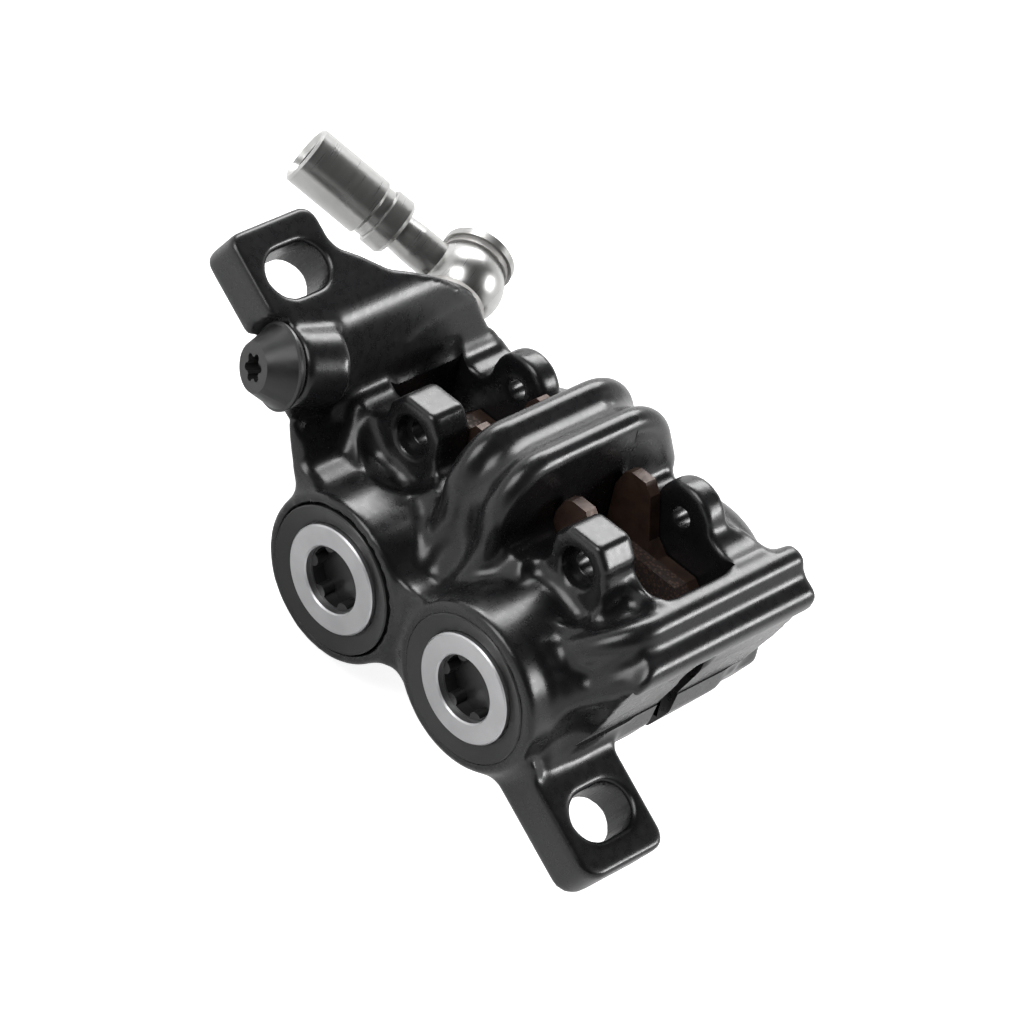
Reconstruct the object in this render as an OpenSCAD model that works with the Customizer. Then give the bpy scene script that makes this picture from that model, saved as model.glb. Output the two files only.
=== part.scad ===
// Four-piston hydraulic disc brake caliper for a post mount, in millimetres.
// Origin: centre of the two mounting bolts on the mounting plane (z = 0).
// +X runs from the bleed end to the far ear, +Y along the axle from the outboard
// to the inboard side, +Z out of the mounting plane toward the bolt heads.

/* [Mounting] */
// Distance between the two mounting bolts
mount_spacing = 74.2; // [70:0.1:80]
// Width of the mounting slots
mount_hole_d = 6.4; // [6:0.1:7]
// Length that each slot adds along the axle
mount_slot_travel = 2.8; // [0:0.1:4]
// Thickness of the mounting ears
ear_thickness = 6.5; // [5:0.1:9]
// Ear edge outboard of the bolt line
ear_outboard = 7.2; // [6:0.1:9]
// Ear edge inboard of the bolt line
ear_inboard = 6.5; // [6:0.1:9]
// Ear length beyond the bolt
ear_end = 7; // [6:0.1:9]
// Corner radius of the ears
ear_corner_r = 2; // [1:0.1:3]
// Distance of the wrench clearance walls from the centre
ear_root_x = 29.6; // [28:0.1:31]

/* [Placement of the halves] */
// Rotor plane inboard of the bolt line
rotor_offset = 15.5; // [14:0.1:17]
// Tilt of the piston line against the bolt line
tilt = 31.8; // [25:0.1:38]
// Piston centre along the bolt line
mid_x = 6.86; // [5:0.01:9]
// Piston centre above the mounting plane
mid_z = -0.68; // [-3:0.01:3]
// Distance between the two pistons of a side
bore_spacing = 23.3; // [22.8:0.1:24.5]
// Width of the pad slot
slot_width = 12.4; // [11.6:0.1:13]
// Width of the rotor slot through the end wall
rotor_slot = 3.6; // [3:0.1:5]

/* [Bores and pistons] */
// Piston diameter
piston_d = 16.9; // [16.5:0.05:17]
// Radial running clearance of the pistons
piston_clearance = 0.05; // [0.03:0.01:0.1]
// Piston length
piston_length = 11; // [9.5:0.1:11.4]
// Outer radius of the cylinder barrels
barrel_r = 11.1; // [10.9:0.1:11.6]
// Outboard face of the cylinders from the rotor plane
outboard_reach = 24.2; // [23.6:0.1:25]
// Inboard face of the closed cylinders from the rotor plane
inboard_reach = 21; // [20:0.1:22]
// Depth of the inboard bores from the slot wall
blind_bore_depth = 12; // [11.6:0.1:12.6]
// Width of the seal grooves
seal_width = 2; // [1.6:0.1:2.4]
// Depth of the seal grooves
seal_depth = 1.3; // [1:0.1:1.6]
// Distance of the seal grooves from the slot wall
seal_setback = 2.4; // [1.6:0.1:3]

/* [Plugs] */
// Radius of the plug flange
plug_flange_r = 9.6; // [9.4:0.1:9.8]
// Outer radius of the trim rings
ring_outer_r = 7.13; // [6.8:0.01:7.5]
// Inner radius of the trim rings
ring_inner_r = 4.35; // [4:0.01:4.6]
// Thickness of the trim rings
ring_thickness = 1; // [0.8:0.1:1.4]
// Length of the plug in its bore
plug_length = 3.9; // [3.4:0.1:4.4]
// Depth of the wrench socket in the plug
plug_socket_depth = 2.8; // [2:0.1:3]

/* [Pads] */
// Pad width along the piston line
pad_width = 19.2; // [17:0.1:20]
// Pad height across the piston line
pad_height = 18; // [16:0.1:19]
// Backing plate thickness
plate_thickness = 1.7; // [1.4:0.1:2]
// Friction lining thickness
lining_thickness = 2; // [1:0.1:2.4]
// Height of the pad tab above the piston line
tab_top = 17.8; // [16:0.1:19]

/* [Bridges] */
// Height of the centre bridge above the piston line
arch_top = 23.6; // [22:0.1:25]
// Half width of the bridges across the slot
arch_half = 16.4; // [15.6:0.1:17]
// Corner radius of the centre bridge
arch_corner_r = 8; // [6:0.1:9]
// Radius of the bridge ridges
ridge_r = 1.9; // [1.5:0.1:2.2]
// Height of the end bridge above the piston line
end_top = 14.2; // [13:0.1:15.5]

/* [Pin bosses] */
// Boss centres from the middle
boss_t = 14.3; // [13.6:0.1:15]
// Boss centres above the piston line
boss_u = 15.05; // [14.4:0.05:15.6]
// Boss radius
boss_r = 4.5; // [4:0.1:4.8]
// Outer faces of the outboard bosses from the rotor plane
boss_reach = 11.9; // [11.4:0.1:12.6]
// Outer faces of the inboard bosses from the rotor plane
far_boss_reach = 9.8; // [9.4:0.1:10.6]
// Pin hole diameter in the outboard bosses
pin_hole_d = 3.3; // [3:0.1:3.6]
// Pin head counterbore diameter
pin_head_d = 5.2; // [4.8:0.1:5.6]
// Tapped hole diameter in the inboard bosses
pin_tap_d = 2.8; // [2.5:0.1:3]

/* [Bleed screw] */
// Head radius of the bleed screw
bleed_head_r = 5.4; // [5:0.1:5.8]
// Shank radius of the bleed screw
bleed_shank_r = 2.4; // [2:0.1:2.6]
// Shank length of the bleed screw
bleed_length = 4.8; // [4.4:0.1:5]
// Angle of the bleed screw against the axle
bleed_angle = 18; // [12:0.5:24]

/* [Hose fitting] */
// Angle of the fitting bolt against the axle
banjo_angle = 27.4; // [24:0.1:31]
// Radius of the ball-shaped eye
banjo_ball_r = 5.2; // [4.8:0.1:5.5]
// Width of the eye across its flats
banjo_width = 6.6; // [6:0.1:7.2]
// Thickness of the sealing washers
washer_thickness = 0.8; // [0.6:0.1:1]
// Shank radius of the fitting bolt
banjo_bolt_r = 3; // [2.8:0.05:3.2]
// Head radius of the fitting bolt
banjo_head_r = 4.8; // [4.5:0.1:5.2]
// Thread length of the fitting bolt in the body
banjo_thread = 5; // [4.6:0.1:5.4]
// Radius of the stem
stem_r = 2.6; // [2.3:0.1:3]
// Outer radius of the crimp sleeve
sleeve_r = 3.9; // [3.7:0.1:4.2]
// Mouth of the crimp sleeve from the eye centre
sleeve_reach = 25.5; // [24:0.1:27]
// Hose bore radius of the crimp sleeve
hose_r = 2.75; // [2.5:0.05:3]

/* [Hidden] */
$fn = 64;
// Half height of the waist between the two cylinders
waist = 6.3;
// Depth by which cuts and joined forms run past each other
eps = 0.05;
// Running gap between pieces of one assembly that seat in each other
seat_gap = 0.05;

// Colours of the materials
black = [0.05, 0.05, 0.055];
silver = [0.72, 0.72, 0.74];
steel = [0.5, 0.5, 0.5];
copper = [0.72, 0.42, 0.28];
rust = [0.3, 0.2, 0.16];
rubber = [0.03, 0.03, 0.03];

hole_x = mount_spacing / 2;
ear_x = hole_x + ear_end;
bore_t = bore_spacing / 2;
bore_r = piston_d / 2 + piston_clearance;
slot_half = slot_width / 2;
cheek_half = arch_half - 1;
front = -outboard_reach;
window_left = -24.5;
window_right = 23.7;
rotor_clear_r = 82;
rotor_centre_u = -72;
arch_side = 5;
near_pocket_r = 7.4;
far_pocket_r = 5.2;
pad_edge_x = 32.4;
pad_relief = 0.4;
foot_fillet = 1.3;
rim_fillet = 0.9;
plug_bore_r = plug_flange_r + seat_gap;
magnet_r = 3.6;
magnet_depth = 2.6;
bleed_ring_r = bleed_shank_r + 0.3;
collar_start = sleeve_reach - 14.9;
collar_end = sleeve_reach - 11.9;

// Turns a point of the bolt frame into the tilted frame of the piston line
function loc(x, z) = [
    (x - mid_x) * cos(tilt) + (z - mid_z) * sin(tilt),
    (z - mid_z) * cos(tilt) - (x - mid_x) * sin(tilt)
];

// Points of an arc about c, from angle a0 to a1
function arc(c, r, a0, a1, n = 8) =
    [for (i = [0:n]) c + r * [cos(a0 + (a1 - a0) * i / n), sin(a0 + (a1 - a0) * i / n)]];

// Tilted frame: x along the piston line, y across the rotor, z up between the pistons
module at_mid() {
    translate([mid_x, rotor_offset, mid_z])
        rotate([0, -tilt, 0])
            children();
}

// Outline in the piston plane, made solid from y0 to y1 across the rotor
module along_y(y0, y1) {
    translate([0, y1, 0])
        rotate([90, 0, 0])
            linear_extrude(y1 - y0)
                children();
}

// Outline seen along the piston line, made solid from t0 to t1
module along_t(t0, t1) {
    translate([t0, 0, 0])
        rotate([90, 0, 90])
            linear_extrude(t1 - t0)
                children();
}

// Turned piece whose profile runs outward from the rotor: [radius, distance]
module turned_outward(side) {
    rotate([side > 0 ? -90 : 90, 0, 0])
        rotate_extrude()
            children();
}

// Places a copy at each piston: side -1 is outboard, side 1 inboard
module at_piston(side, end) {
    at_mid()
        translate([end * bore_t, 0, 0])
            turned_outward(side)
                children();
}

// Figure-of-eight outline of the two cylinders with a drawn-in waist
module cylinders_outline() {
    blend = (bore_t * bore_t + waist * waist - barrel_r * barrel_r) / (2 * (barrel_r - waist));
    share = barrel_r / (barrel_r + blend);
    for (end = [-1, 1])
        translate([end * bore_t, 0])
            circle(barrel_r);
    difference() {
        square([2 * bore_t * (1 - share), 2 * (waist + blend) * share], center = true);
        for (s = [-1, 1])
            translate([0, s * (waist + blend)])
                circle(blend);
    }
}

// Outline of a cheek between the slot and the cylinders, with its end wall and deck
module cheek_outline() {
    deck = 12;
    shoulder = end_top + 0.6;
    cylinders_outline();
    difference() {
        polygon(concat(
            [loc(-24, 0), [-24.6, 11], [-22.4, 3], [-bore_t, -barrel_r + 2]],
            [[bore_t, -barrel_r], loc(ear_root_x, -0.2), loc(ear_root_x, 18.5)],
            [[28.9, 6.4], [29.3, 7.9], [window_right, shoulder]],
            [[19, shoulder + 0.4], [arch_side, deck], [-arch_side, deck]],
            [[-19, shoulder + 0.6], [window_left, 16]]
        ));
        for (s = [-1, 1])
            translate([s * 21.9, 18.4])
                circle(4);
    }
}

// Ridged outline of the end bridge and the wall below it
module end_bridge_outline() {
    crest = [25.3, end_top - ridge_r + 0.2];
    outer = [28, 9.2];
    translate(crest)
        circle(ridge_r);
    translate(outer)
        circle(ridge_r);
    polygon([
        [bore_t, -barrel_r], loc(ear_root_x, -0.2), loc(ear_root_x, 18.2), [28.9, 6.4],
        [outer[0] + ridge_r - 0.3, 8], outer, crest, [window_right, crest[1]], [window_right, 0]
    ]);
}

// Side view of the end bridge and its wall, with rounded far and near ends
module end_bridge_side() {
    round = 5;
    y = arch_half - round;
    polygon(concat(
        arc([y, end_top + 2 - round], round, 0, 90),
        arc([-y, end_top + 2 - round], round, 90, 180),
        [[-arch_half, -13], [-2, -13], [8, -9.6], [13.2, -5.6], [arch_half, 0.4]]
    ));
}

// Side view of the deck: level over the bosses, falling toward the cylinder faces
module deck_side() {
    polygon([
        [-18, -14], [-18, 7.5], [-16, 10.2], [-12.4, 14], [-9, 17],
        [9, 17], [12.4, 14], [16, 10.2], [18, 7.5], [18, -14]
    ]);
}

// Radius by which the legs of the centre bridge flare at each side
function flare(side) = side < 0 ? 9 : 5;

// Centre of that flare in the side view
function flare_centre(side) = [
    side * (arch_half - ridge_r + flare(side)),
    waist + flare(side) - ridge_r
];

// Side view of the centre bridge, drawn in by inset from the crest of its ridges
module arch_side_view(inset) {
    y = arch_half - arch_corner_r;
    u = arch_top - arch_corner_r;
    near = flare_centre(-1);
    far = flare_centre(1);
    polygon(concat(
        arc(near, flare(-1) - ridge_r + inset, -90, 0),
        arc([-y, u], arch_corner_r - inset, 180, 90),
        arc([y, u], arch_corner_r - inset, 90, 0),
        arc(far, flare(1) - ridge_r + inset, 180, 270),
        [[far[0], 0], [near[0], 0]]
    ));
}

// Quarter bend of a ridge about a centre given in the side view
module ridge_bend(centre, r, start) {
    translate([0, centre[0], centre[1]])
        rotate([90, 0, 90])
            rotate([0, 0, start])
                rotate_extrude(angle = 90)
                    translate([r, 0])
                        circle(ridge_r);
}

// One rounded ridge that follows the arch from foot to foot
module ridge(t) {
    y = arch_half - arch_corner_r;
    u = arch_top - arch_corner_r;
    translate([t, 0, 0]) {
        translate([0, -y, arch_top - ridge_r])
            rotate([-90, 0, 0])
                cylinder(r = ridge_r, h = 2 * y);
        for (side = [-1, 1]) {
            foot = flare_centre(side);
            ridge_bend([side * y, u], arch_corner_r - ridge_r, side < 0 ? 90 : 0);
            ridge_bend(foot, flare(side), side < 0 ? -90 : 180);
            translate([0, side * (arch_half - ridge_r), foot[1]])
                cylinder(r = ridge_r, h = u - foot[1]);
        }
    }
}

// Centre bridge: recessed web between two ridges
module arch() {
    along_t(-arch_side, arch_side)
        arch_side_view(ridge_r + 0.6);
    along_t(-3.2, 3.2)
        arch_side_view(1.2);
    for (t = [-3.2, 3.2])
        ridge(t);
}

// Outer face of a boss from the rotor plane
function reach(side) = side < 0 ? boss_reach : far_boss_reach;

// Pin boss with a flat top, from the slot wall to its outer face
module pin_boss(side, end) {
    top = side < 0 ? 4.8 : 3.2;
    y0 = side < 0 ? -boss_reach : slot_half - 1;
    y1 = side < 0 ? -slot_half + 1 : far_boss_reach;
    along_y(y0, y1)
        translate([end * boss_t, boss_u]) {
            circle(boss_r);
            polygon([
                [-4.4, -3.5], [-4.4, top - 2.4], [-2.4, top], [2.6, top], [4.4, top - 2.4], [4.6, -3.5]
            ]);
        }
}

// Rounded pocket beyond the outer face of a boss, wider where it clears a pin head
module boss_pocket(side, end) {
    at_mid()
        translate([end * boss_t, 0, boss_u + (side < 0 ? 1 : 0)])
            turned_outward(side)
                translate([0, reach(side)])
                    intersection() {
                        circle(side < 0 ? near_pocket_r : far_pocket_r);
                        square(9);
                    }
}

// Corner arc of an ear: sign -1 or +1 along x, side -1 or +1 along y
function ear_corner(sign, side, r) =
    arc([sign * (ear_x - r), side < 0 ? r - ear_outboard : ear_inboard - r], r,
        sign > 0 ? (side < 0 ? -90 : 0) : (side < 0 ? 180 : 90),
        sign > 0 ? (side < 0 ? 0 : 90) : (side < 0 ? 270 : 180), 6);

// Far ear, with a fillet at the foot of the end wall
module far_ear() {
    root = ear_root_x - 8;
    linear_extrude(ear_thickness)
        polygon(concat(
            [[root, -ear_outboard]],
            ear_corner(1, -1, 1.5 * ear_corner_r),
            ear_corner(1, 1, ear_corner_r),
            arc([ear_root_x + 2, ear_inboard + 2], 2, 270, 180, 5),
            [[root, ear_inboard + 2]]
        ));
    translate([ear_root_x, ear_inboard, ear_thickness])
        rotate([90, 0, 0])
            linear_extrude(ear_inboard + ear_outboard)
                difference() {
                    translate([-1, -1])
                        square(foot_fillet + 1);
                    translate([foot_fillet, foot_fillet])
                        circle(foot_fillet);
                }
}

// Bleed-end ear from above: it runs on as the bridge to the inboard cylinders
module bleed_ear_plan() {
    polygon(concat(
        ear_corner(-1, -1, ear_corner_r),
        [[-9, -ear_outboard], [-9, 34], [-18.3, 31]],
        [[-23.3, 27], [-26.9, 23.4], [-29.2, 20], [-31, 16.5], [-32.9, 12.4]],
        [[-36.1, 9.2], [-37.8, 7], [-39.4, ear_inboard]],
        ear_corner(-1, 1, ear_corner_r)
    ));
}

// Bleed-end ear and slope seen along the axle
module bleed_ear_side() {
    roll = 5.5;
    centre = [-31.4, ear_thickness - roll];
    slope = 46.5;
    top = [for (p = arc(centre, roll, 90, slope, 6)) loc(p[0], p[1])];
    polygon(concat(
        [loc(-ear_x - 1, 0), loc(-24, 0), [-23.4, 11], [-21.2, 7], [-15, 0], [-14, 9.6], [-22.6, 9.8]],
        [for (i = [6:-1:0]) top[i]],
        [loc(-ear_x - 1, ear_thickness)]
    ));
}

// Space above the slope, kept clear of the two port bosses
module above_slope() {
    polygon([[-22.1, 8], [-26.6, 24.6], [-33, 32], [-10, 30], [-10, 8]]);
}

module bleed_ear() {
    intersection() {
        at_mid()
            along_y(-outboard_reach, arch_half)
                bleed_ear_side();
        translate([0, 0, -12])
            linear_extrude(12 + ear_thickness)
                bleed_ear_plan();
        union() {
            translate([-ear_x - 1, -ear_outboard - 1, -1])
                cube([ear_x + 1 - pad_edge_x, ear_outboard + ear_inboard + 1.5, 2 + ear_thickness]);
            translate([-ear_x - 1, -ear_outboard - 1, pad_relief])
                cube([ear_x, 50, ear_thickness]);
            translate([-23.8, -ear_outboard - 1, -12.5])
                cube([23.8, 50, 14 + ear_thickness]);
        }
    }
}

// Slotted bolt hole that lets the caliper shift across the rotor
module mount_slot(sign) {
    for (y = [-0.5, 0.5])
        translate([sign * hole_x, y * mount_slot_travel, -1])
            cylinder(d = mount_hole_d, h = ear_thickness + 2);
    translate([sign * hole_x - mount_hole_d / 2, -mount_slot_travel / 2, -1])
        cube([mount_hole_d, mount_slot_travel, ear_thickness + 2]);
}

// Axis of the bleed screw: origin on its seat, z toward its head
module at_bleed() {
    translate([-27.4, -6.5, 3.2])
        rotate([90, 0, 0])
            rotate([0, -bleed_angle, 0])
                children();
}

// Axis of the fitting bolt: origin on its seat, z toward its head
module at_banjo() {
    translate([-27.05, 24.41, -2])
        rotate([-90, 0, 0])
            rotate([0, -banjo_angle, 0])
                children();
}

// Cylinder barrels; the inboard pair is closed by a rounded end
module barrels() {
    end_round = 6;
    for (end = [-1, 1]) {
        at_piston(-1, end)
            polygon(concat(
                [[0, slot_half], [barrel_r, slot_half]],
                arc([barrel_r - rim_fillet, outboard_reach - rim_fillet], rim_fillet, 0, 90, 4),
                [[0, outboard_reach]]
            ));
        at_piston(1, end)
            difference() {
                square([barrel_r, inboard_reach]);
                difference() {
                    translate([barrel_r - end_round, inboard_reach - end_round])
                        square(end_round + 1);
                    translate([barrel_r - end_round, inboard_reach - end_round])
                        circle(end_round);
                }
            }
    }
}

// Everything solid of the body before it is machined
module forging() {
    barrels();
    at_mid() {
        along_y(front + rim_fillet, inboard_reach - 6)
            cylinders_outline();
        intersection() {
            along_y(-18, 18)
                cheek_outline();
            along_t(-40, 40)
                deck_side();
        }
        intersection() {
            along_y(-arch_half, arch_half)
                end_bridge_outline();
            along_t(-40, 40)
                end_bridge_side();
        }
        arch();
    }
    bleed_ear();
    far_ear();
    at_bleed()
        translate([0, 0, -bleed_length + 0.2])
            cylinder(r = bleed_head_r - 0.5, h = bleed_length - 0.2);
    difference() {
        at_banjo()
            translate([0, 0, -12])
                cylinder(r = banjo_ball_r, h = 12);
        at_mid()
            along_y(front, arch_half + 5)
                above_slope();
    }
}

// Slot for the pads and rotor, open at both windows
module pad_slot() {
    at_mid() {
        translate([window_left, -slot_half, -40])
            cube([window_right - window_left, slot_width, 40 + 9.9]);
        translate([window_left, -slot_half, 9])
            cube([-arch_side - window_left, slot_width, 40]);
        translate([arch_side, -slot_half, 9])
            cube([window_right - arch_side, slot_width, 40]);
        translate([0, rotor_slot / 2, rotor_centre_u])
            rotate([90, 0, 0])
                cylinder(r = rotor_clear_r, h = rotor_slot, $fn = 180);
    }
}

// Piston bore, seal groove and, outboard, the seat of the plug
module bore(side, end) {
    depth = side < 0 ? outboard_reach + 1 : slot_half + blind_bore_depth;
    at_piston(side, end) {
        translate([0, slot_half - 1])
            square([bore_r, depth - slot_half + 1]);
        translate([0, slot_half + seal_setback])
            square([bore_r + seal_depth, seal_width]);
        if (side < 0)
            translate([0, outboard_reach - plug_length])
                square([plug_bore_r, plug_length + 1]);
    }
}

// Pin hole through an outboard boss with its head seat, or tapped hole inboard
module pin_hole(side, end) {
    at_mid()
        translate([end * boss_t, 0, boss_u])
            turned_outward(side) {
                if (side < 0) {
                    square([pin_hole_d / 2, boss_reach + 2]);
                    translate([0, boss_reach - 2])
                        square([pin_head_d / 2, 3]);
                } else {
                    square([pin_tap_d / 2, far_boss_reach + 5]);
                }
            }
}

// Body: one forging that carries both pairs of cylinders and both bridges
module caliper_body() {
    color(black)
        difference() {
            union() {
                difference() {
                    forging();
                    for (end = [-1, 1], side = [-1, 1])
                        boss_pocket(side, end);
                }
                at_mid()
                    for (end = [-1, 1], side = [-1, 1])
                        pin_boss(side, end);
            }
            pad_slot();
            for (end = [-1, 1], side = [-1, 1]) {
                bore(side, end);
                pin_hole(side, end);
            }
            for (sign = [-1, 1])
                mount_slot(sign);
            at_bleed() {
                cylinder(r = bleed_head_r + 0.5, h = 14);
                translate([0, 0, -bleed_length - 0.3])
                    cylinder(r = bleed_shank_r + seat_gap, h = bleed_length + 1);
            }
            at_banjo() {
                cylinder(r = banjo_ball_r + 0.4, h = 16);
                translate([0, 0, -banjo_thread - 0.3])
                    cylinder(r = banjo_bolt_r + seat_gap, h = banjo_thread + 1);
            }
        }
}

// Screwed plug that closes an outboard bore, with its dished face and wrench socket
module bore_plug(end) {
    face = outboard_reach;
    inner = face - plug_length;
    dish = 0.7;
    color(black)
        at_mid()
            translate([end * bore_t, 0, 0])
                difference() {
                    turned_outward(-1)
                        polygon([
                            [0, inner], [plug_flange_r, inner], [plug_flange_r, face - 0.15],
                            [plug_flange_r - 0.15, face], [ring_outer_r + 0.15, face - dish],
                            [ring_outer_r + 0.15, face - ring_thickness],
                            [0, face - ring_thickness]
                        ]);
                    rotate([90, 0, 0])
                        translate([0, 0, face - plug_socket_depth])
                            linear_extrude(plug_socket_depth)
                                plug_socket();
                }
}

// Six-lobed wrench socket
module plug_socket() {
    r = ring_inner_r - 0.3;
    difference() {
        circle(r);
        for (i = [0:5])
            rotate(i * 60)
                translate([r + 0.1, 0])
                    circle(0.9, $fn = 24);
    }
}

// Trim ring set into the dished face of a plug
module trim_ring(end) {
    face = outboard_reach;
    edge = 0.2;
    color(silver)
        at_piston(-1, end)
            polygon([
                [ring_inner_r, face - ring_thickness], [ring_outer_r, face - ring_thickness],
                [ring_outer_r, face - edge], [ring_outer_r - edge, face],
                [ring_inner_r + edge, face], [ring_inner_r, face - edge]
            ]);
}

// Hollow piston with a post that holds the magnet
module piston(side, end) {
    front_y = slot_half - 0.2;
    r = piston_d / 2;
    edge = 0.4;
    color(silver)
        at_piston(side, end)
            polygon([
                [0, front_y + magnet_depth], [magnet_r + seat_gap, front_y + magnet_depth],
                [magnet_r + seat_gap, front_y + 0.6], [magnet_r + 1.1, front_y + 0.6],
                [magnet_r + 1.1, front_y + 7], [r - 1.6, front_y + 7], [r - 1.6, front_y],
                [r - edge, front_y], [r, front_y + edge],
                [r, front_y + piston_length - edge], [r - edge, front_y + piston_length],
                [0, front_y + piston_length]
            ]);
}

// Magnet in the piston post that holds the pad
module piston_magnet(side, end) {
    front_y = slot_half - 0.2;
    color(steel)
        at_piston(side, end)
            translate([0, front_y + 0.05])
                square([magnet_r, magnet_depth - 0.05]);
}

// Square-section seal in its groove round the piston
module piston_seal(side, end) {
    gap = 0.02;
    color(rubber)
        at_piston(side, end)
            translate([piston_d / 2 + gap, slot_half + seal_setback + gap])
                square([piston_clearance + seal_depth - 2 * gap, seal_width - 2 * gap]);
}

module piston_seals() {
    for (end = [-1, 1], side = [-1, 1])
        piston_seal(side, end);
}

// Outline of the friction lining
module lining_outline() {
    w = pad_width / 2;
    h = pad_height / 2;
    cut = 2.4;
    polygon([
        [-w, -h + cut], [-w + cut, -h], [w - cut, -h], [w, -h + cut],
        [w, h - cut], [w - cut, h], [-w + cut, h], [-w, h - cut]
    ]);
}

// Outline of the left backing plate: the lining's with a tab toward the centre bridge
module plate_outline() {
    lining_outline();
    top = tab_top;
    tab_edge = bore_t - arch_side - 0.1;
    polygon([
        [-3.4, pad_height / 2 - 1], [tab_edge, 2], [tab_edge, top - 3], [tab_edge - 1, top - 0.6],
        [tab_edge - 2, top],
        [2.2, top], [1, top - 1.4], [-0.4, pad_height / 2 + 1.6]
    ]);
}

// Backing plate of a pad, held against its piston
module pad_plate(side, end) {
    back = slot_half - 0.2;
    y = side < 0 ? -back : back - plate_thickness;
    color(copper)
        at_mid()
            mirror([end > 0 ? 1 : 0, 0, 0])
                along_y(y, y + plate_thickness)
                    translate([-bore_t, 0])
                        plate_outline();
}

// Friction lining bonded to the backing plate
module pad_lining(side, end) {
    back = slot_half - 0.2 - plate_thickness;
    y = side < 0 ? -back : back - lining_thickness;
    color(rust)
        at_mid()
            along_y(y, y + lining_thickness)
                translate([end * bore_t, 0])
                    lining_outline();
}

// Six-lobed driver socket of the bleed screw
module driver_socket() {
    circle(1.35);
    for (i = [0:5])
        rotate(i * 60)
            translate([1.35, 0])
                circle(0.5, $fn = 24);
}

// Bleed screw: cone head with a flange, groove for its ring, and shank
module bleed_screw() {
    flange = 1.2;
    cone = 3.35;
    color(black)
        at_bleed()
            difference() {
                rotate_extrude()
                    polygon([
                        [0, -bleed_length], [bleed_shank_r - 0.5, -bleed_length],
                        [bleed_shank_r, -bleed_length + 0.6], [bleed_shank_r, 0],
                        [bleed_ring_r, 0], [bleed_ring_r, 0.7], [bleed_head_r - 0.2, 0.7],
                        [bleed_head_r, 0.9], [bleed_head_r, flange],
                        [bleed_head_r - 0.35, flange + 0.15], [3.1, flange + cone], [0, flange + cone]
                    ]);
                translate([0, 0, flange + cone - 2])
                    linear_extrude(3)
                        driver_socket();
            }
}

// Sealing ring under the head of the bleed screw
module bleed_oring() {
    color(rubber)
        at_bleed()
            rotate_extrude()
                polygon([
                    [bleed_ring_r + 0.05, 0.02], [bleed_head_r - 0.9, 0.02],
                    [bleed_head_r - 0.9, 0.65], [bleed_ring_r + 0.05, 0.65]
                ]);
}

// Frame of the hose: origin at the eye centre, z along the hose
module at_hose() {
    at_banjo()
        translate([0, 0, washer_thickness + banjo_width / 2])
            rotate([0, -90, 0])
                children();
}

// Eye and stem of the hose fitting, drilled from the eye to the end of the stem
module banjo_fitting() {
    color(steel)
        difference() {
            union() {
                at_hose() {
                    intersection() {
                        sphere(banjo_ball_r);
                        translate([-banjo_width / 2, -6, -6])
                            cube([banjo_width, 12, 12]);
                    }
                    rotate_extrude()
                        polygon([
                            [0, 2], [stem_r, 2], [stem_r, 8], [stem_r - 0.2, collar_start],
                            [stem_r - 0.2, collar_end + 1.6], [0, collar_end + 1.6]
                        ]);
                }
            }
            at_banjo()
                translate([0, 0, -1])
                    cylinder(r = banjo_bolt_r + seat_gap, h = banjo_width + 4);
            at_hose()
                translate([0, 0, banjo_bolt_r])
                    cylinder(r = 0.7, h = sleeve_reach);
        }
}

// Collar nut on the stem
module hose_collar() {
    r = sleeve_r;
    bore = stem_r - 0.2 + seat_gap;
    color(steel)
        at_hose()
            rotate_extrude()
                polygon([
                    [bore, collar_start], [r - 0.5, collar_start], [r, collar_start + 0.5],
                    [r, collar_end - 0.2], [r - 0.25, collar_end - 0.02], [bore, collar_end - 0.02]
                ]);
}

// Crimp sleeve, open at its mouth for the hose
module crimp_sleeve() {
    r = sleeve_r;
    neck = sleeve_reach - 10.6;
    mouth = sleeve_reach;
    color(steel)
        at_hose()
            rotate_extrude()
                polygon([
                    [stem_r - 0.2 + seat_gap, collar_end], [r - 0.45, collar_end], [r - 0.45, neck - 0.2],
                    [r, neck + 0.2], [r, mouth - 0.3], [r - 0.3, mouth], [hose_r + 0.5, mouth],
                    [hose_r, mouth - 0.7], [hose_r, collar_end + 1.6],
                    [stem_r - 0.2 + seat_gap, collar_end + 1.6]
                ]);
}

// Hollow bolt that holds the eye and carries the fluid
module banjo_bolt() {
    top = 2 * washer_thickness + banjo_width;
    color(steel)
        at_banjo()
            difference() {
                rotate_extrude()
                    polygon([
                        [0, -banjo_thread], [banjo_bolt_r - 0.5, -banjo_thread],
                        [banjo_bolt_r, -banjo_thread + 0.6], [banjo_bolt_r, top],
                        [banjo_head_r, top], [banjo_head_r, top + 1], [banjo_head_r - 0.5, top + 1.5],
                        [0, top + 1.9]
                    ]);
                translate([0, 0, top - 1])
                    cylinder(d = 4.6, h = 4, $fn = 6);
                translate([0, 0, -banjo_thread - 1])
                    cylinder(r = 1, h = banjo_thread + top / 2 + 2);
                translate([0, 0, top / 2])
                    rotate([0, 90, 0])
                        cylinder(r = 0.9, h = 10, center = true);
            }
}

// Sealing washers on both flats of the eye
module banjo_washers() {
    color(copper)
        at_banjo()
            for (z = [0, washer_thickness + banjo_width])
                translate([0, 0, z])
                    difference() {
                        cylinder(r = banjo_head_r - 0.4, h = washer_thickness);
                        translate([0, 0, -1])
                            cylinder(r = banjo_bolt_r + seat_gap, h = washer_thickness + 2);
                    }
}

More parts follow.
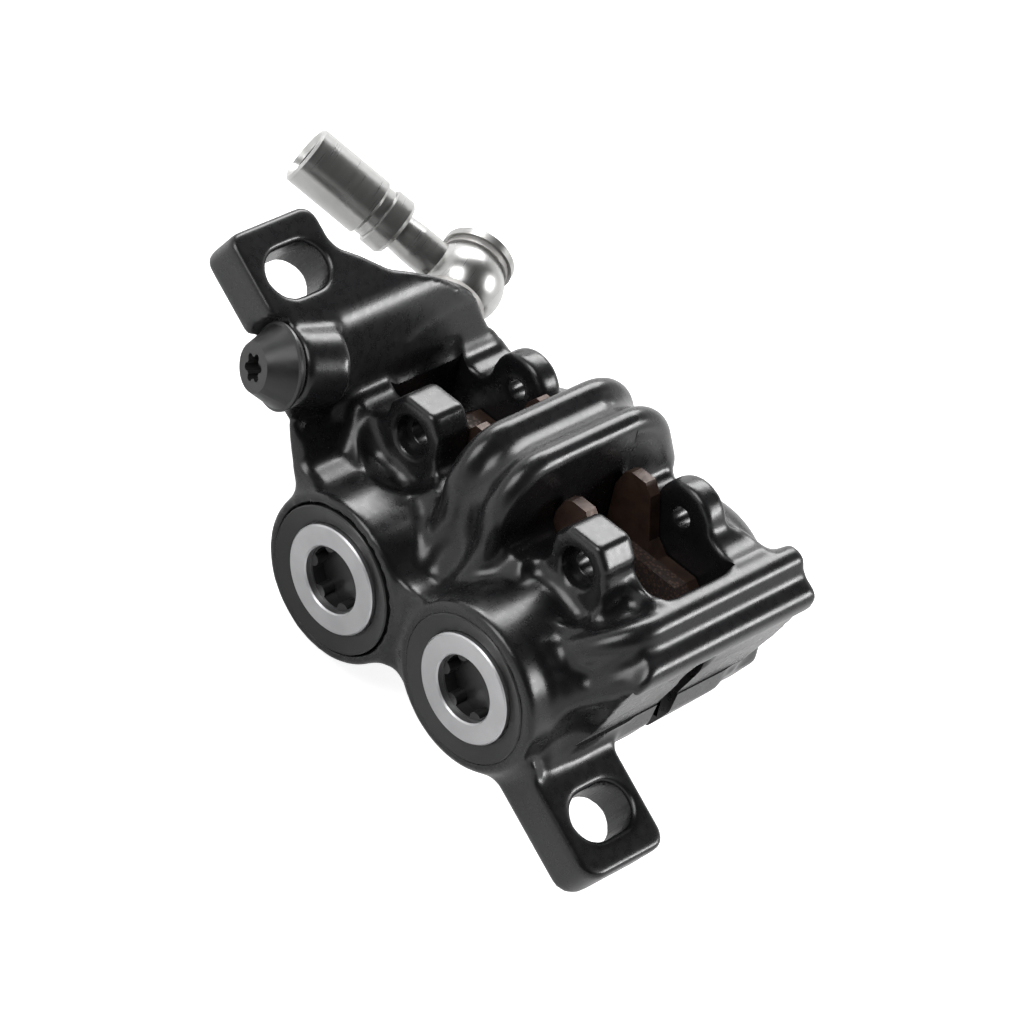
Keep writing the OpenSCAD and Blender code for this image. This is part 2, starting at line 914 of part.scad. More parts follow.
caliper_body();
bore_plug(-1);  // bore_plug_1
bore_plug(1);  // bore_plug_2
trim_ring(-1);  // trim_ring_1
trim_ring(1);  // trim_ring_2
piston(-1, -1);  // piston_out_1
piston(-1, 1);  // piston_out_2
piston(1, -1);  // piston_in_1
piston(1, 1);  // piston_in_2
piston_magnet(-1, -1);  // magnet_out_1
piston_magnet(-1, 1);  // magnet_out_2
piston_magnet(1, -1);  // magnet_in_1
piston_magnet(1, 1);  // magnet_in_2
piston_seals();
pad_plate(-1, -1);  // plate_out_1
pad_plate(-1, 1);  // plate_out_2
pad_plate(1, -1);  // plate_in_1
pad_plate(1, 1);  // plate_in_2
pad_lining(-1, -1);  // lining_out_1
pad_lining(-1, 1);  // lining_out_2
pad_lining(1, -1);  // lining_in_1
pad_lining(1, 1);  // lining_in_2
bleed_screw();
bleed_oring();
banjo_fitting();
banjo_bolt();
banjo_washers();
hose_collar();
crimp_sleeve();
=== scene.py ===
"""Looks of a four-piston bicycle disc brake caliper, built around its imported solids."""

import math

import bmesh
import bpy
import numpy as np
import openvdb
from mathutils import Matrix, Vector


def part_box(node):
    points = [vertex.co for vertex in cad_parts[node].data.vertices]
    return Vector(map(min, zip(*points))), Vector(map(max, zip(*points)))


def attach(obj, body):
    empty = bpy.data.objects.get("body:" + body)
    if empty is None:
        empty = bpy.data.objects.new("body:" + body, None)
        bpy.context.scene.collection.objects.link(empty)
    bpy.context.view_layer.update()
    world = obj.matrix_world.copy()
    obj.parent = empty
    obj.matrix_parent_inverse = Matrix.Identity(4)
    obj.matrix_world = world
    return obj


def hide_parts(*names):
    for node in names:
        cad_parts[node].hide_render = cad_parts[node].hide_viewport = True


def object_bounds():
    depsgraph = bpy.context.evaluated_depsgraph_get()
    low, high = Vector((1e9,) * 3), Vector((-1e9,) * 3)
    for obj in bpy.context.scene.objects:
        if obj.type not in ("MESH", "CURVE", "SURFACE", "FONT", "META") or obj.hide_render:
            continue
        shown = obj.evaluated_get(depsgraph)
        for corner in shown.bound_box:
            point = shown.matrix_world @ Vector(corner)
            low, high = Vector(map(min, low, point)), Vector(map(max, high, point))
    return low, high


MM = 0.001

# Camera found from the bolt spacing and the circles of the trim rings
CAMERA_PLACE = Vector((0.0588348, -0.4156952, 0.529902))
CAMERA_RIGHT = Vector((0.487523, 0.70311, 0.517646))
CAMERA_UP = Vector((-0.868827, 0.332022, 0.367287))
CAMERA_AHEAD = Vector((-0.086373, 0.628806, -0.77275))
FOCAL_PIXELS = 5641.2
IMAGE_PIXELS = 1024
SENSOR_MM = 36.0

# Lamps, in metres
LAMP_TARGET = Vector((0.0, 0.012, 0.0))
LAMP_DISTANCE = 0.9

# Middle of the caliper and the slant of its piston line
ROTOR_Y = 15.5 * MM
MIDDLE = Vector((6.86 * MM, ROTOR_Y, -0.68 * MM))
TILT = math.radians(31.8)
ALONG = Vector((math.cos(TILT), 0, math.sin(TILT)))
UPWARD = Vector((-math.sin(TILT), 0, math.cos(TILT)))

# Forging in millimetres: t along the piston line, y from the rotor plane, u up from the line
BODY_FRAME = Matrix((ALONG, (0, 1, 0), UPWARD)).transposed().to_4x4()
BODY_FRAME = Matrix.Translation(MIDDLE) @ BODY_FRAME @ Matrix.Scale(MM, 4)

# The part's own axes in millimetres, with y from the bolt line or from the rotor plane
BOLT_FRAME = Matrix.Scale(MM, 4)
ROTOR_FRAME = BOLT_FRAME @ Matrix.Translation((0, 15.5, 0))

# Grid spacing and rounding
VOXEL = 0.28
COARSE_VOXEL = 0.5
FILLET = 1.6
SOFT_FILLET = 5
EDGE_ROUND = 0.55
SHARP_ANGLE = math.radians(32)

# Barrels with their bores, seal grooves and plug seats
BORE_T = 11.65
BORE_R = 8.5
BARREL_R = 11.1
BLIND_DEPTH = 12.0
SEAL_SETBACK = 2.4
SEAL_WIDTH = 2.0
SEAL_DEPTH = 1.3
PLUG_BORE_R = 9.65
PLUG_FACE_Y = -24.2
PLUG_DEPTH = 3.9

# Slots for the pads and the rotor
SLOT_HALF = 6.2
SLOT_LEFT = -23.7
SLOT_RIGHT = 23.7
SLOT_TOP = 9.9
ROTOR_SLOT_HALF = 1.8
ROTOR_R = 82
ROTOR_U = -72

# Arched bridge and its ridges: bend given as y and u
ARCH_SIDE = 5.0
ARCH_RIDGE_T = 3.2
ARCH_BEND = (6, 14.7)
ARCH_BEND_R = 7
ARCH_LEAN = 25
END_LEG = 14.5
RIDGE_R = 1.9

# End bridge: ridges given as t and u, how far they sink as they bend, and the trimmed foot as y and u
CREST = (25.3, 12.5)
CREST_DROP = 5.5
OUTER = (28.0, 9.2)
OUTER_DROP = 7.7
END_BEND_Y = -9.4
END_BEND_R = 7
FAR_FOOT = [(-2, -13.5), (8, -9.6), (13.2, -5.6), (16.2, 0.4), (15.6, 20), (24, 20), (24, -20), (-2, -20)]

# Holes for the pad screws
BOSS = (14.3, 15.05)
PIN_HOLE_R = 1.65
PIN_HEAD_R = 2.6
PIN_TAP_R = 1.4

# Slots for the mounting bolts and inner ends of the mounting pads
MOUNT_X = 37.1
MOUNT_HOLE_R = 3.2
MOUNT_TRAVEL = 1.4
BLEED_PAD_X = -32.4
FAR_PAD_X = 29.6

# Seats of the bleed screw and of the hose fitting
BLEED_SEAT = Vector((-27.4, -6.5, 3.2))
BLEED_OUT = Vector((-math.sin(math.radians(18)), -math.cos(math.radians(18)), 0))
BLEED_ROOM_R = 5.9
BLEED_HOLE_R = 2.45
BLEED_NECK_R = 4.9
BANJO_SEAT = Vector((-27.05, 24.41, -2.0))
BANJO_OUT = Vector((-math.sin(math.radians(27.4)), math.cos(math.radians(27.4)), 0))
BANJO_ROOM_R = 5.6
BANJO_HOLE_R = 3.05


def arc(centre, radius, start, end, steps=12):
    """Points of an arc in a plane, angles in degrees."""
    points = []
    for i in range(steps + 1):
        angle = math.radians(start + (end - start) * i / steps)
        points.append((centre[0] + radius * math.cos(angle), centre[1] + radius * math.sin(angle)))
    return points


def circle(radius, sides):
    """Corners of a regular outline about the origin."""
    return arc((0, 0), radius, 0, 360 - 360 / sides, sides - 1)


def placed(name, mesh):
    """New piece in the scene."""
    piece = bpy.data.objects.new(name, mesh)
    bpy.context.scene.collection.objects.link(piece)
    return piece


def solid(rings, matrix):
    """Closed solid through rings of points, capped at both ends."""
    bm = bmesh.new()
    rows = [[bm.verts.new(point) for point in ring] for ring in rings]
    for low, high in zip(rows, rows[1:]):
        for i in range(len(low)):
            j = (i + 1) % len(low)
            bm.faces.new((low[i], low[j], high[j], high[i]))
    bm.faces.new(rows[0])
    bm.faces.new(rows[-1])
    bmesh.ops.triangulate(bm, faces=bm.faces[:])
    bmesh.ops.recalc_face_normals(bm, faces=bm.faces[:])
    mesh = bpy.data.meshes.new("solid")
    bm.to_mesh(mesh)
    bm.free()
    mesh.transform(matrix)
    return placed("solid", mesh)


def across(outline, low, high, matrix=BODY_FRAME):
    """Outline in the piston plane, made solid between two distances across the rotor."""
    return solid([[(x, y, z) for x, z in outline] for y in (low, high)], matrix)


def along(outline, low, high):
    """Outline seen along the piston line, made solid between two places on it."""
    return solid([[(t, y, u) for y, u in outline] for t in (low, high)], BODY_FRAME)


def block(low, high, matrix=BODY_FRAME):
    """Box between two corners."""
    outline = [(low[0], low[2]), (high[0], low[2]), (high[0], high[2]), (low[0], high[2])]
    return across(outline, low[1], high[1], matrix)


def rod(start, end, radius, matrix=BODY_FRAME, sides=72):
    """Round bar between two points."""
    start = Vector(start)
    end = Vector(end)
    turn = (end - start).to_track_quat("Z", "Y")
    ring = [turn @ Vector((x, z, 0)) for x, z in circle(radius, sides)]
    return solid([[place + point for point in ring] for place in (start, end)], matrix)


def bent_ridge(t):
    """Ridge of the arch where it bends down on the far side."""
    rings = []
    for y, u in arc((0, 0), 1, 90, ARCH_LEAN, 18):
        ring = []
        for a, b in circle(1, 36):
            reach = ARCH_BEND_R + RIDGE_R * b
            ring.append((t + RIDGE_R * a, ARCH_BEND[0] + reach * y, ARCH_BEND[1] + reach * u))
        rings.append(ring)
    return solid(rings, BODY_FRAME)


def swept_ridge(points):
    """Ridge along a curve in space."""
    rings = []
    for i, point in enumerate(points):
        before = points[max(i - 1, 0)]
        after = points[min(i + 1, len(points) - 1)]
        heading = (after - before).normalized()
        side = heading.cross(Vector((0, 0, 1))).normalized()
        over = side.cross(heading)
        rings.append([point + side * (RIDGE_R * a) + over * (RIDGE_R * b) for a, b in circle(1, 36)])
    return solid(rings, BODY_FRAME)


def combine(base, tools, operation):
    """Adds the tools to a piece, or cuts them from it."""
    for tool in tools:
        modifier = base.modifiers.new("combine", "BOOLEAN")
        modifier.operation = operation
        modifier.solver = "MANIFOLD"
        modifier.object = tool
    graph = bpy.context.evaluated_depsgraph_get()
    mesh = bpy.data.meshes.new_from_object(base.evaluated_get(graph))
    base.modifiers.clear()
    base.data = mesh
    for tool in tools:
        bpy.data.objects.remove(tool)
    return base


def joined(tools):
    """One piece from several tools."""
    return combine(tools[0], tools[1:], "UNION")


def mesh_arrays(mesh, matrix):
    """Corners and triangles of a mesh, in millimetres."""
    mesh.calc_loop_triangles()
    corners = np.empty(len(mesh.vertices) * 3, dtype=np.float32)
    mesh.vertices.foreach_get("co", corners)
    corners = corners.reshape(-1, 3) @ np.array(matrix.to_3x3()).T + np.array(matrix.translation)
    triangles = np.empty(len(mesh.loop_triangles) * 3, dtype=np.uint32)
    mesh.loop_triangles.foreach_get("vertices", triangles)
    return (corners / MM).astype(np.float32), triangles.reshape(-1, 3)


def shifted(corners, triangles, quads, distance, voxel):
    """Surface moved outward by a distance, or inward by a negative one."""
    grid = openvdb.FloatGrid.createLevelSetFromPolygons(
        corners, triangles=triangles, quads=quads, transform=openvdb.createLinearTransform(voxel),
        halfWidth=abs(distance) / voxel + 3)
    return grid.convertToPolygons(isovalue=distance)


def rounded_mesh(name, mesh, steps, matrix=Matrix.Identity(4), voxel=VOXEL):
    """Mesh moved out and in by each step in turn, which rounds its edges and fills its corners."""
    corners, triangles = mesh_arrays(mesh, matrix)
    quads = None
    for distance in steps:
        corners, triangles, quads = shifted(corners, triangles, quads, distance, voxel)
    faces = [face[::-1] for face in triangles.tolist()] + [face[::-1] for face in quads.tolist()]
    result = bpy.data.meshes.new(name)
    result.from_pydata((corners * MM).tolist(), [], faces)
    return result


def end_ridges():
    """Near ends of the end bridge's ridges, which sink as they bend toward the right barrel."""
    parts = []
    for (t, u), drop in ((CREST, CREST_DROP), (OUTER, OUTER_DROP)):
        curve = [Vector((t, 0, u))]
        for a, b in arc((0, 0), 1, 0, 90, 16):
            y = END_BEND_Y - END_BEND_R * b
            curve.append(Vector((t - END_BEND_R + END_BEND_R * a, y, u - drop * (1 - a))))
        parts.append(swept_ridge(curve))
    return parts


def arch_ridges():
    """Far ends of the arch's ridges, which bend down and then lean out."""
    turn = math.radians(ARCH_LEAN)
    bend_y, bend_u = ARCH_BEND
    lean_start = (bend_y + ARCH_BEND_R * math.cos(turn), bend_u + ARCH_BEND_R * math.sin(turn))
    lean_end = (END_LEG, lean_start[1] - (END_LEG - lean_start[0]) / math.tan(turn))
    top = bend_u + ARCH_BEND_R
    parts = []
    for t in (-ARCH_RIDGE_T, ARCH_RIDGE_T):
        parts.append(bent_ridge(t))
        parts.append(rod((t, 0, top), (t, bend_y, top), RIDGE_R))
        parts.append(rod((t, *lean_start), (t, *lean_end), RIDGE_R))
        parts.append(rod((t, *lean_end), (t, END_LEG, 9), RIDGE_R))
    return parts


def forged_additions():
    """Forms that the forging has beside those of the solid: webs, neck, walls and ridge ends."""
    far_web = [(-25.8, 16.5), (-25.9, 6), (-25.2, -1), (-20, -8), (-15, -8), (-15, 9), (-23, 11)]
    near_web = [(-25.9, 16.8), (-23.7, 10), (-21.7, 5.7), (-20.5, 2), (-18, -2), (-14, 0)]
    near_web += [(-14, 9.6), (-20.9, 10.2), (-22.5, 13)]
    slot_end = [(-25.9, 16.8), (-26.2, 9), (-25, 4), (-23.4, 3), (-23.4, 13.5)]
    lower_wall = [(21.6, 1), (21.6, -7.6), (21.75, -7.6), (25.7, 1)]
    wall_foot = [(26.5, -0.2), (30.3, -0.2), (30.3, 5.2), (29, 8.4), (26, 8.4)]
    return [
        across(far_web, SLOT_HALF - 0.5, 10.5),
        rod(BLEED_SEAT - 6.5 * BLEED_OUT, BLEED_SEAT, BLEED_NECK_R, BOLT_FRAME),
        across(near_web, -21.5, -12),
        across(slot_end, -12, 10.5),
        rod((BORE_T, -23.5, 0), (BORE_T, -5, 0), BARREL_R, sides=144),
        across(lower_wall, -SLOT_HALF - 0.5, SLOT_HALF + 0.5),
        *end_ridges(),
        combine(across(wall_foot, 6.5, 26, BOLT_FRAME), [along(FAR_FOOT, 10, 36)], "DIFFERENCE"),
        *arch_ridges(),
    ]


def outside_wall(foot, top_x, low, high):
    """What lies outside the leaning wall of the end bridge, above a foot given as x and z."""
    outline = [foot, (top_x, 21.3), (31, 19.6), (36, 19), (36, foot[1])]
    return across(outline, low, high, ROTOR_FRAME)


def forged_cuts():
    """What the forging lacks beside the solid: the lean of its wall, rounded ends and far corners."""
    near_end = arc((-7.4, CREST[1] - 9), 9, 90, 180) + [(-22, CREST[1] - 9), (-22, 19), (-7.4, 19)]
    corner = arc((22.9, END_BEND_Y), END_BEND_R, 0, -90) + [(22.9, -22), (36, -22), (36, END_BEND_Y)]
    crown = arc(ARCH_BEND, 7.4, 90, ARCH_LEAN) + [(15, 13), (22, 13), (22, 28), (6, 28)]
    far_cheek = [(-26.2, 24), (-23.5, 14.2), (-23.2, 13.3), (-18.9, 12.9), (-18.9, 24)]
    return [
        outside_wall((29.1, 6.5), 27.3, -22, 22),
        along(FAR_FOOT, 22.6, 34),
        along(near_end, 19.4, 34),
        along(crown, -6, 6),
        solid([[(x, y, z) for x, y in corner] for z in (7, 26)], ROTOR_FRAME),
        across(far_cheek, 5, 22),
    ]


def seat_cuts(seat, out, room, room_r, depth, hole_r):
    """Room in front of a flat seat, and the blind hole behind it."""
    return [
        rod(seat, seat + room * out, room_r, BOLT_FRAME),
        rod(seat - depth * out, seat + out, hole_r, BOLT_FRAME),
    ]


def bore_cuts(end):
    """Two bores of one end with their seal grooves and the seat of the plug."""
    t = end * BORE_T
    cuts = [
        rod((t, -26, 0), (t, -5, 0), BORE_R),
        rod((t, 5, 0), (t, SLOT_HALF + BLIND_DEPTH, 0), BORE_R),
        rod((t, -26, 0), (t, PLUG_FACE_Y + PLUG_DEPTH, 0), PLUG_BORE_R),
    ]
    for side in (-1, 1):
        groove = side * (SLOT_HALF + SEAL_SETBACK)
        cuts.append(rod((t, groove, 0), (t, groove + side * SEAL_WIDTH, 0), BORE_R + SEAL_DEPTH))
    return cuts


def pin_cuts(end):
    """Hole for the pad screw with the seat of its head and the tapped hole across the slot."""
    t = end * BOSS[0]
    u = BOSS[1]
    return [
        rod((t, -14, u), (t, 0, u), PIN_HOLE_R),
        rod((t, -13, u), (t, -9.9, u), PIN_HEAD_R),
        rod((t, 0, u), (t, 14.8, u), PIN_TAP_R),
    ]


def mount_cuts(end):
    """Slotted hole for a mounting bolt."""
    x = end * MOUNT_X
    cuts = [rod((x, y, -1), (x, y, 8), MOUNT_HOLE_R, BOLT_FRAME) for y in (-MOUNT_TRAVEL, MOUNT_TRAVEL)]
    low = (x - MOUNT_HOLE_R, -MOUNT_TRAVEL, -1)
    high = (x + MOUNT_HOLE_R, MOUNT_TRAVEL, 8)
    return cuts + [block(low, high, BOLT_FRAME)]


def machined_cuts():
    """Holes, slots and seats, cut crisp into the rounded forging."""
    cuts = [
        block((SLOT_LEFT, -SLOT_HALF, -40), (18.5, SLOT_HALF, SLOT_TOP)),
        block((18, -SLOT_HALF, -9.3), (21.45, SLOT_HALF, SLOT_TOP)),
        block((20, -SLOT_HALF, 1), (SLOT_RIGHT, SLOT_HALF, SLOT_TOP)),
        block((SLOT_LEFT, -SLOT_HALF, 9), (-ARCH_SIDE, SLOT_HALF, 49)),
        block((ARCH_SIDE, -SLOT_HALF, 9), (SLOT_RIGHT, SLOT_HALF, 49)),
        rod((0, -ROTOR_SLOT_HALF, ROTOR_U), (0, ROTOR_SLOT_HALF, ROTOR_U), ROTOR_R, sides=240),
        *seat_cuts(BLEED_SEAT, BLEED_OUT, 14, BLEED_ROOM_R, 5.1, BLEED_HOLE_R),
        *seat_cuts(BANJO_SEAT, BANJO_OUT, 16, BANJO_ROOM_R, 5.3, BANJO_HOLE_R),
        block((-46, -8, -4), (BLEED_PAD_X, 8, 0), BOLT_FRAME),
        block((FAR_PAD_X, -8, -4), (46, 10, 0), BOLT_FRAME),
    ]
    for end in (-1, 1):
        cuts += bore_cuts(end) + pin_cuts(end) + mount_cuts(end)
    cuts.append(outside_wall((28.85, 8.3), 27.25, -22, 22))
    return cuts


def soft_corners(blank):
    """Hollows beside the right barrel and the bleed ear, filled with a wide soft radius."""
    soft = placed("soft", rounded_mesh("soft", blank.data, (SOFT_FILLET, -SOFT_FILLET), voxel=COARSE_VOXEL))
    regions = joined([
        block((17, -4, 6.8), (29.2, 8.8, 17), BOLT_FRAME),
        block((-24, -19.5, -6), (-12, -6.7, 7)),
    ])
    return combine(soft, [regions], "INTERSECT")


def make_forging_skin(material):
    """Smooth forging that is shown for the solid of the body."""
    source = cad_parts["caliper_body"]
    blank = placed("forging_skin", rounded_mesh("blank", source.data, (0,), source.matrix_world))
    combine(blank, [joined(forged_cuts())], "DIFFERENCE")
    combine(blank, [joined(forged_additions())], "UNION")
    combine(blank, [outside_wall((28.85, 8.5), 27.3, -21.5, 22.5)], "DIFFERENCE")
    combine(blank, [soft_corners(blank)], "UNION")
    blank.data = rounded_mesh("forging_skin", blank.data, (FILLET, -FILLET - EDGE_ROUND, EDGE_ROUND))
    smooth = blank.modifiers.new("smooth", "SMOOTH")
    smooth.factor = 0.5
    smooth.iterations = 8
    combine(blank, [joined(machined_cuts())], "DIFFERENCE")
    blank.data.polygons.foreach_set("use_smooth", [True] * len(blank.data.polygons))
    blank.data.set_sharp_from_angle(angle=SHARP_ANGLE)
    blank.data.materials.clear()
    blank.data.materials.append(material)

    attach(blank, "caliper")
    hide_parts("caliper_body")


# Depth in metres of the finest relief
FINE_RELIEF = 0.00001

# Axes about which the turned pieces are round
AXLE = (0, 1, 0)
SLEEVE_AXIS = (-0.887785, -0.460227, 0)
BANJO_AXIS = (-0.460227, 0.887785, 0)


class Nodes:
    """A material's node tree with short calls for the nodes used here."""

    def __init__(self, name):
        self.material = bpy.data.materials.new(name)
        self.material.use_nodes = True
        self.tree = self.material.node_tree
        self.shader = self.tree.nodes["Principled BSDF"]
        coords = self.tree.nodes.new("ShaderNodeTexCoord")
        self.place = coords.outputs["Object"]

    def link(self, source, target):
        """Joins an output to an input."""
        self.tree.links.new(source, target)

    def noise(self, scale, detail=3.0, roughness=0.55, vector=None):
        """Soft random pattern."""
        node = self.tree.nodes.new("ShaderNodeTexNoise")
        node.inputs["Scale"].default_value = scale
        node.inputs["Detail"].default_value = detail
        node.inputs["Roughness"].default_value = roughness
        self.link(vector or self.place, node.inputs["Vector"])
        return node.outputs["Fac"]

    def spread(self, value, low, high, start=0.3, end=0.7):
        """A pattern's middle range spread between two values."""
        node = self.tree.nodes.new("ShaderNodeMapRange")
        node.inputs["From Min"].default_value = start
        node.inputs["From Max"].default_value = end
        node.inputs["To Min"].default_value = low
        node.inputs["To Max"].default_value = high
        self.link(value, node.inputs["Value"])
        return node.outputs["Result"]

    def ramp(self, value, low, high, start=0.35, end=0.65):
        """A pattern turned into a blend of two colours."""
        node = self.tree.nodes.new("ShaderNodeValToRGB")
        node.color_ramp.elements[0].position = start
        node.color_ramp.elements[1].position = end
        node.color_ramp.elements[0].color = (*low, 1)
        node.color_ramp.elements[1].color = (*high, 1)
        self.link(value, node.inputs["Fac"])
        return node.outputs["Color"]

    def bump(self, height, strength, distance):
        """Fine relief from a pattern."""
        node = self.tree.nodes.new("ShaderNodeBump")
        node.inputs["Strength"].default_value = strength
        node.inputs["Distance"].default_value = distance
        self.link(height, node.inputs["Height"])
        self.link(node.outputs["Normal"], self.shader.inputs["Normal"])

    def set(self, name, value):
        """Gives the shader a plain value."""
        self.shader.inputs[name].default_value = value


def cast_black(name, base, rough_low, rough_high, grain=0.35):
    """Semi-gloss black with a faint orange peel and fine grain."""
    n = Nodes(name)
    n.link(n.ramp(n.noise(140), base, tuple(v * 1.5 for v in base)), n.shader.inputs["Base Color"])
    n.link(n.spread(n.noise(900, 4), rough_low, rough_high), n.shader.inputs["Roughness"])
    n.bump(n.noise(2600, 4, 0.6), grain, FINE_RELIEF)
    return n.material


def turned_metal(name, base, rough_low, rough_high, centre, axis, pitch, grain=0.3):
    """Metal with fine rings left by turning about an axis through a centre."""
    n = Nodes(name)
    turn = Vector(axis).normalized()
    shift = n.tree.nodes.new("ShaderNodeVectorMath")
    shift.operation = "SUBTRACT"
    shift.inputs[1].default_value = centre
    n.link(n.place, shift.inputs[0])
    cross = n.tree.nodes.new("ShaderNodeVectorMath")
    cross.operation = "CROSS_PRODUCT"
    cross.inputs[1].default_value = turn
    n.link(shift.outputs["Vector"], cross.inputs[0])
    radius = n.tree.nodes.new("ShaderNodeVectorMath")
    radius.operation = "LENGTH"
    n.link(cross.outputs["Vector"], radius.inputs[0])
    along = n.tree.nodes.new("ShaderNodeVectorMath")
    along.operation = "DOT_PRODUCT"
    along.inputs[1].default_value = turn
    n.link(shift.outputs["Vector"], along.inputs[0])
    pair = n.tree.nodes.new("ShaderNodeCombineXYZ")
    n.link(radius.outputs["Value"], pair.inputs["X"])
    n.link(along.outputs["Value"], pair.inputs["Y"])
    rings = n.noise(1.0 / pitch, 2, 0.5, pair.outputs["Vector"])
    n.link(n.ramp(n.noise(260), tuple(v * 0.9 for v in base), base), n.shader.inputs["Base Color"])
    n.link(n.spread(rings, rough_low, rough_high), n.shader.inputs["Roughness"])
    n.bump(rings, grain, FINE_RELIEF)
    n.set("Metallic", 1.0)
    return n.material


def friction_compound(name):
    """Dark brown compound with paler and metallic grains."""
    n = Nodes(name)
    grains = n.tree.nodes.new("ShaderNodeTexVoronoi")
    grains.inputs["Scale"].default_value = 2200
    n.link(n.place, grains.inputs["Vector"])
    colour = n.ramp(grains.outputs["Distance"], (0.12, 0.07, 0.05), (0.03, 0.02, 0.017), 0.1, 0.5)
    n.link(colour, n.shader.inputs["Base Color"])
    n.link(n.spread(grains.outputs["Distance"], 0.45, 0.8), n.shader.inputs["Roughness"])
    n.bump(grains.outputs["Distance"], 0.4, 5 * FINE_RELIEF)
    return n.material


def plated_plate(name, low, high):
    """Stamped steel with a warm plating that varies over its face."""
    n = Nodes(name)
    n.link(n.ramp(n.noise(420, 5), low, high), n.shader.inputs["Base Color"])
    n.link(n.spread(n.noise(1500, 3), 0.38, 0.55), n.shader.inputs["Roughness"])
    n.bump(n.noise(3200, 3), 0.3, 2 * FINE_RELIEF)
    n.set("Metallic", 0.35)
    return n.material


def soft_rubber(name):
    """Matt black rubber."""
    n = Nodes(name)
    colour = n.ramp(n.noise(500), (0.02, 0.02, 0.02), (0.035, 0.035, 0.035))
    n.link(colour, n.shader.inputs["Base Color"])
    n.link(n.spread(n.noise(1200), 0.6, 0.75), n.shader.inputs["Roughness"])
    n.bump(n.noise(2400), 0.3, 2 * FINE_RELIEF)
    return n.material


def node_middle(node):
    """Middle of a node's box."""
    low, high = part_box(node)
    return (low + high) / 2


def dress(node, material):
    """Gives a carried-over solid its material."""
    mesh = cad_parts[node].data
    mesh.materials.clear()
    mesh.materials.append(material)


def make_camera():
    """Camera from which the photograph was taken."""
    data = bpy.data.cameras.new("camera")
    data.lens = FOCAL_PIXELS / IMAGE_PIXELS * SENSOR_MM
    data.sensor_width = SENSOR_MM
    data.clip_start = 0.01
    data.clip_end = 20
    camera = bpy.data.objects.new("camera", data)
    axes = Matrix((CAMERA_RIGHT, CAMERA_UP, -CAMERA_AHEAD)).transposed()
    camera.matrix_world = Matrix.Translation(CAMERA_PLACE) @ axes.to_4x4()
    bpy.context.scene.collection.objects.link(camera)
    bpy.context.scene.camera = camera


def make_floor(height):
    """White paper under the caliper, which the camera sees a little brighter."""
    mesh = bpy.data.meshes.new("floor")
    side = 4.0
    corners = [(-side, -side, height), (side, -side, height), (side, side, height), (-side, side, height)]
    mesh.from_pydata(corners, [], [(0, 1, 2, 3)])
    floor = placed("floor", mesh)
    n = Nodes("floor_paper")
    n.link(n.ramp(n.noise(30), (0.9, 0.9, 0.9), (0.92, 0.92, 0.92)), n.shader.inputs["Base Color"])
    n.set("Roughness", 0.9)
    n.set("Specular IOR Level", 0.1)
    n.set("Emission Color", (1, 1, 1, 1))
    path = n.tree.nodes.new("ShaderNodeLightPath")
    glow = n.tree.nodes.new("ShaderNodeMath")
    glow.operation = "MULTIPLY"
    glow.inputs[1].default_value = 0.8
    n.link(path.outputs["Is Camera Ray"], glow.inputs[0])
    n.link(glow.outputs["Value"], n.shader.inputs["Emission Strength"])
    mesh.materials.append(n.material)


def make_world():
    """Pale near the horizon and darker overhead, where the lamps are."""
    world = bpy.data.worlds.new("studio")
    world.use_nodes = True
    bpy.context.scene.world = world
    tree = world.node_tree
    background = tree.nodes["Background"]
    coords = tree.nodes.new("ShaderNodeTexCoord")
    split = tree.nodes.new("ShaderNodeSeparateXYZ")
    ramp = tree.nodes.new("ShaderNodeValToRGB")
    ramp.color_ramp.elements[0].position = 0.3
    ramp.color_ramp.elements[0].color = (0.95, 0.95, 0.95, 1)
    ramp.color_ramp.elements[1].position = 0.62
    ramp.color_ramp.elements[1].color = (0.03, 0.03, 0.03, 1)
    tree.links.new(coords.outputs["Generated"], split.inputs["Vector"])
    tree.links.new(split.outputs["Z"], ramp.inputs["Fac"])
    tree.links.new(ramp.outputs["Color"], background.inputs["Color"])
    background.inputs["Strength"].default_value = 1.0


def make_lamp(name, direction, size, watts):
    """Lamp with a rectangular face turned toward the caliper."""
    data = bpy.data.lights.new(name, "AREA")
    data.shape = "RECTANGLE"
    data.size, data.size_y = size
    data.energy = watts
    lamp = bpy.data.objects.new(name, data)
    aim = Vector(direction).normalized()
    lamp.location = LAMP_TARGET + aim * LAMP_DISTANCE
    lamp.rotation_euler = aim.to_track_quat("Z", "Y").to_euler()
    bpy.context.scene.collection.objects.link(lamp)


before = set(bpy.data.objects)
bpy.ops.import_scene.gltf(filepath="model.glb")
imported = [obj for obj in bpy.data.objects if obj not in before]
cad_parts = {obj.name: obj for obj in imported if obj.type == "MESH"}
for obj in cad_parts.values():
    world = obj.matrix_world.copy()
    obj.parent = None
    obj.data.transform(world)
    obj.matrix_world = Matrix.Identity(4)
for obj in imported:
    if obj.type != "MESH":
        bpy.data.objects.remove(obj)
bpy.context.scene.view_settings.view_transform = "Standard"
cad_low, cad_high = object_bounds()

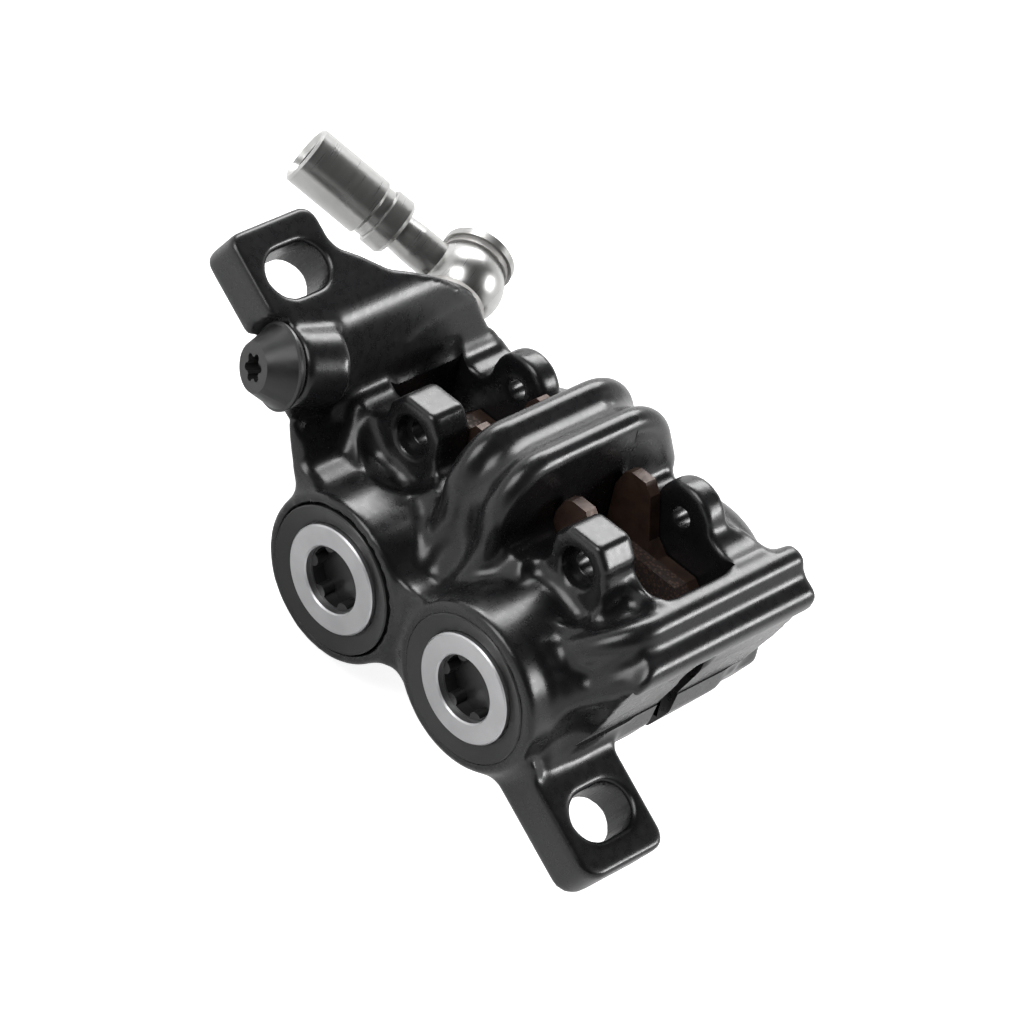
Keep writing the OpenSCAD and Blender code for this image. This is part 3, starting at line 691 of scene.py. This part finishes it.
make_camera()
make_floor(cad_low[2])
make_world()
make_lamp("lamp_top", (-0.75, 0.6, 0.4), (0.7, 0.4), 9)
make_lamp("lamp_right", (0.45, 0.6, 0.6), (0.35, 0.2), 5)
make_lamp("lamp_left", (-0.6, -0.7, 0.9), (0.5, 0.5), 5)

black = cast_black("forged_black", (0.005, 0.005, 0.0055), 0.25, 0.32)
plug_black = cast_black("plug_black", (0.008, 0.008, 0.008), 0.28, 0.36, 0.2)
bleed_black = cast_black("bleed_black", (0.012, 0.012, 0.012), 0.32, 0.42, 0.3)
rubber = soft_rubber("seal_rubber")
steel = turned_metal("fitting_steel", (0.5, 0.5, 0.49), 0.27, 0.33, node_middle("crimp_sleeve"),
                     SLEEVE_AXIS, 0.0002, 0.06)
bolt_steel = turned_metal("bolt_steel", (0.42, 0.42, 0.41), 0.27, 0.34, node_middle("banjo_washers"),
                          BANJO_AXIS, 0.0002, 0.06)
washer_steel = plated_plate("washer_steel", (0.3, 0.29, 0.28), (0.38, 0.37, 0.36))
plate = plated_plate("pad_plate", (0.028, 0.016, 0.012), (0.055, 0.03, 0.02))
lining = friction_compound("pad_lining")

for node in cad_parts:
    middle = node_middle(node)
    if node.startswith("trim_ring"):
        name = "ring_silver_" + node[-1]
        dress(node, turned_metal(name, (0.55, 0.55, 0.56), 0.36, 0.44, middle, AXLE, 0.00012, 0.12))
    elif node.startswith("bore_plug"):
        dress(node, plug_black)
    elif node.startswith("piston_seals") or node == "bleed_oring":
        dress(node, rubber)
    elif node.startswith("piston_"):
        dress(node, turned_metal(node + "_alloy", (0.5, 0.5, 0.5), 0.3, 0.42, middle, AXLE, 0.00015))
    elif node.startswith("magnet"):
        dress(node, turned_metal(node + "_nickel", (0.6, 0.6, 0.58), 0.2, 0.3, middle, AXLE, 0.0002))
    elif node.startswith("plate"):
        dress(node, plate)
    elif node.startswith("lining"):
        dress(node, lining)
    elif node == "bleed_screw":
        dress(node, bleed_black)
    elif node == "banjo_washers":
        dress(node, washer_steel)
    elif node == "banjo_bolt":
        dress(node, bolt_steel)
    elif node == "caliper_body":
        dress(node, black)
    else:
        dress(node, steel)

make_forging_skin(black)
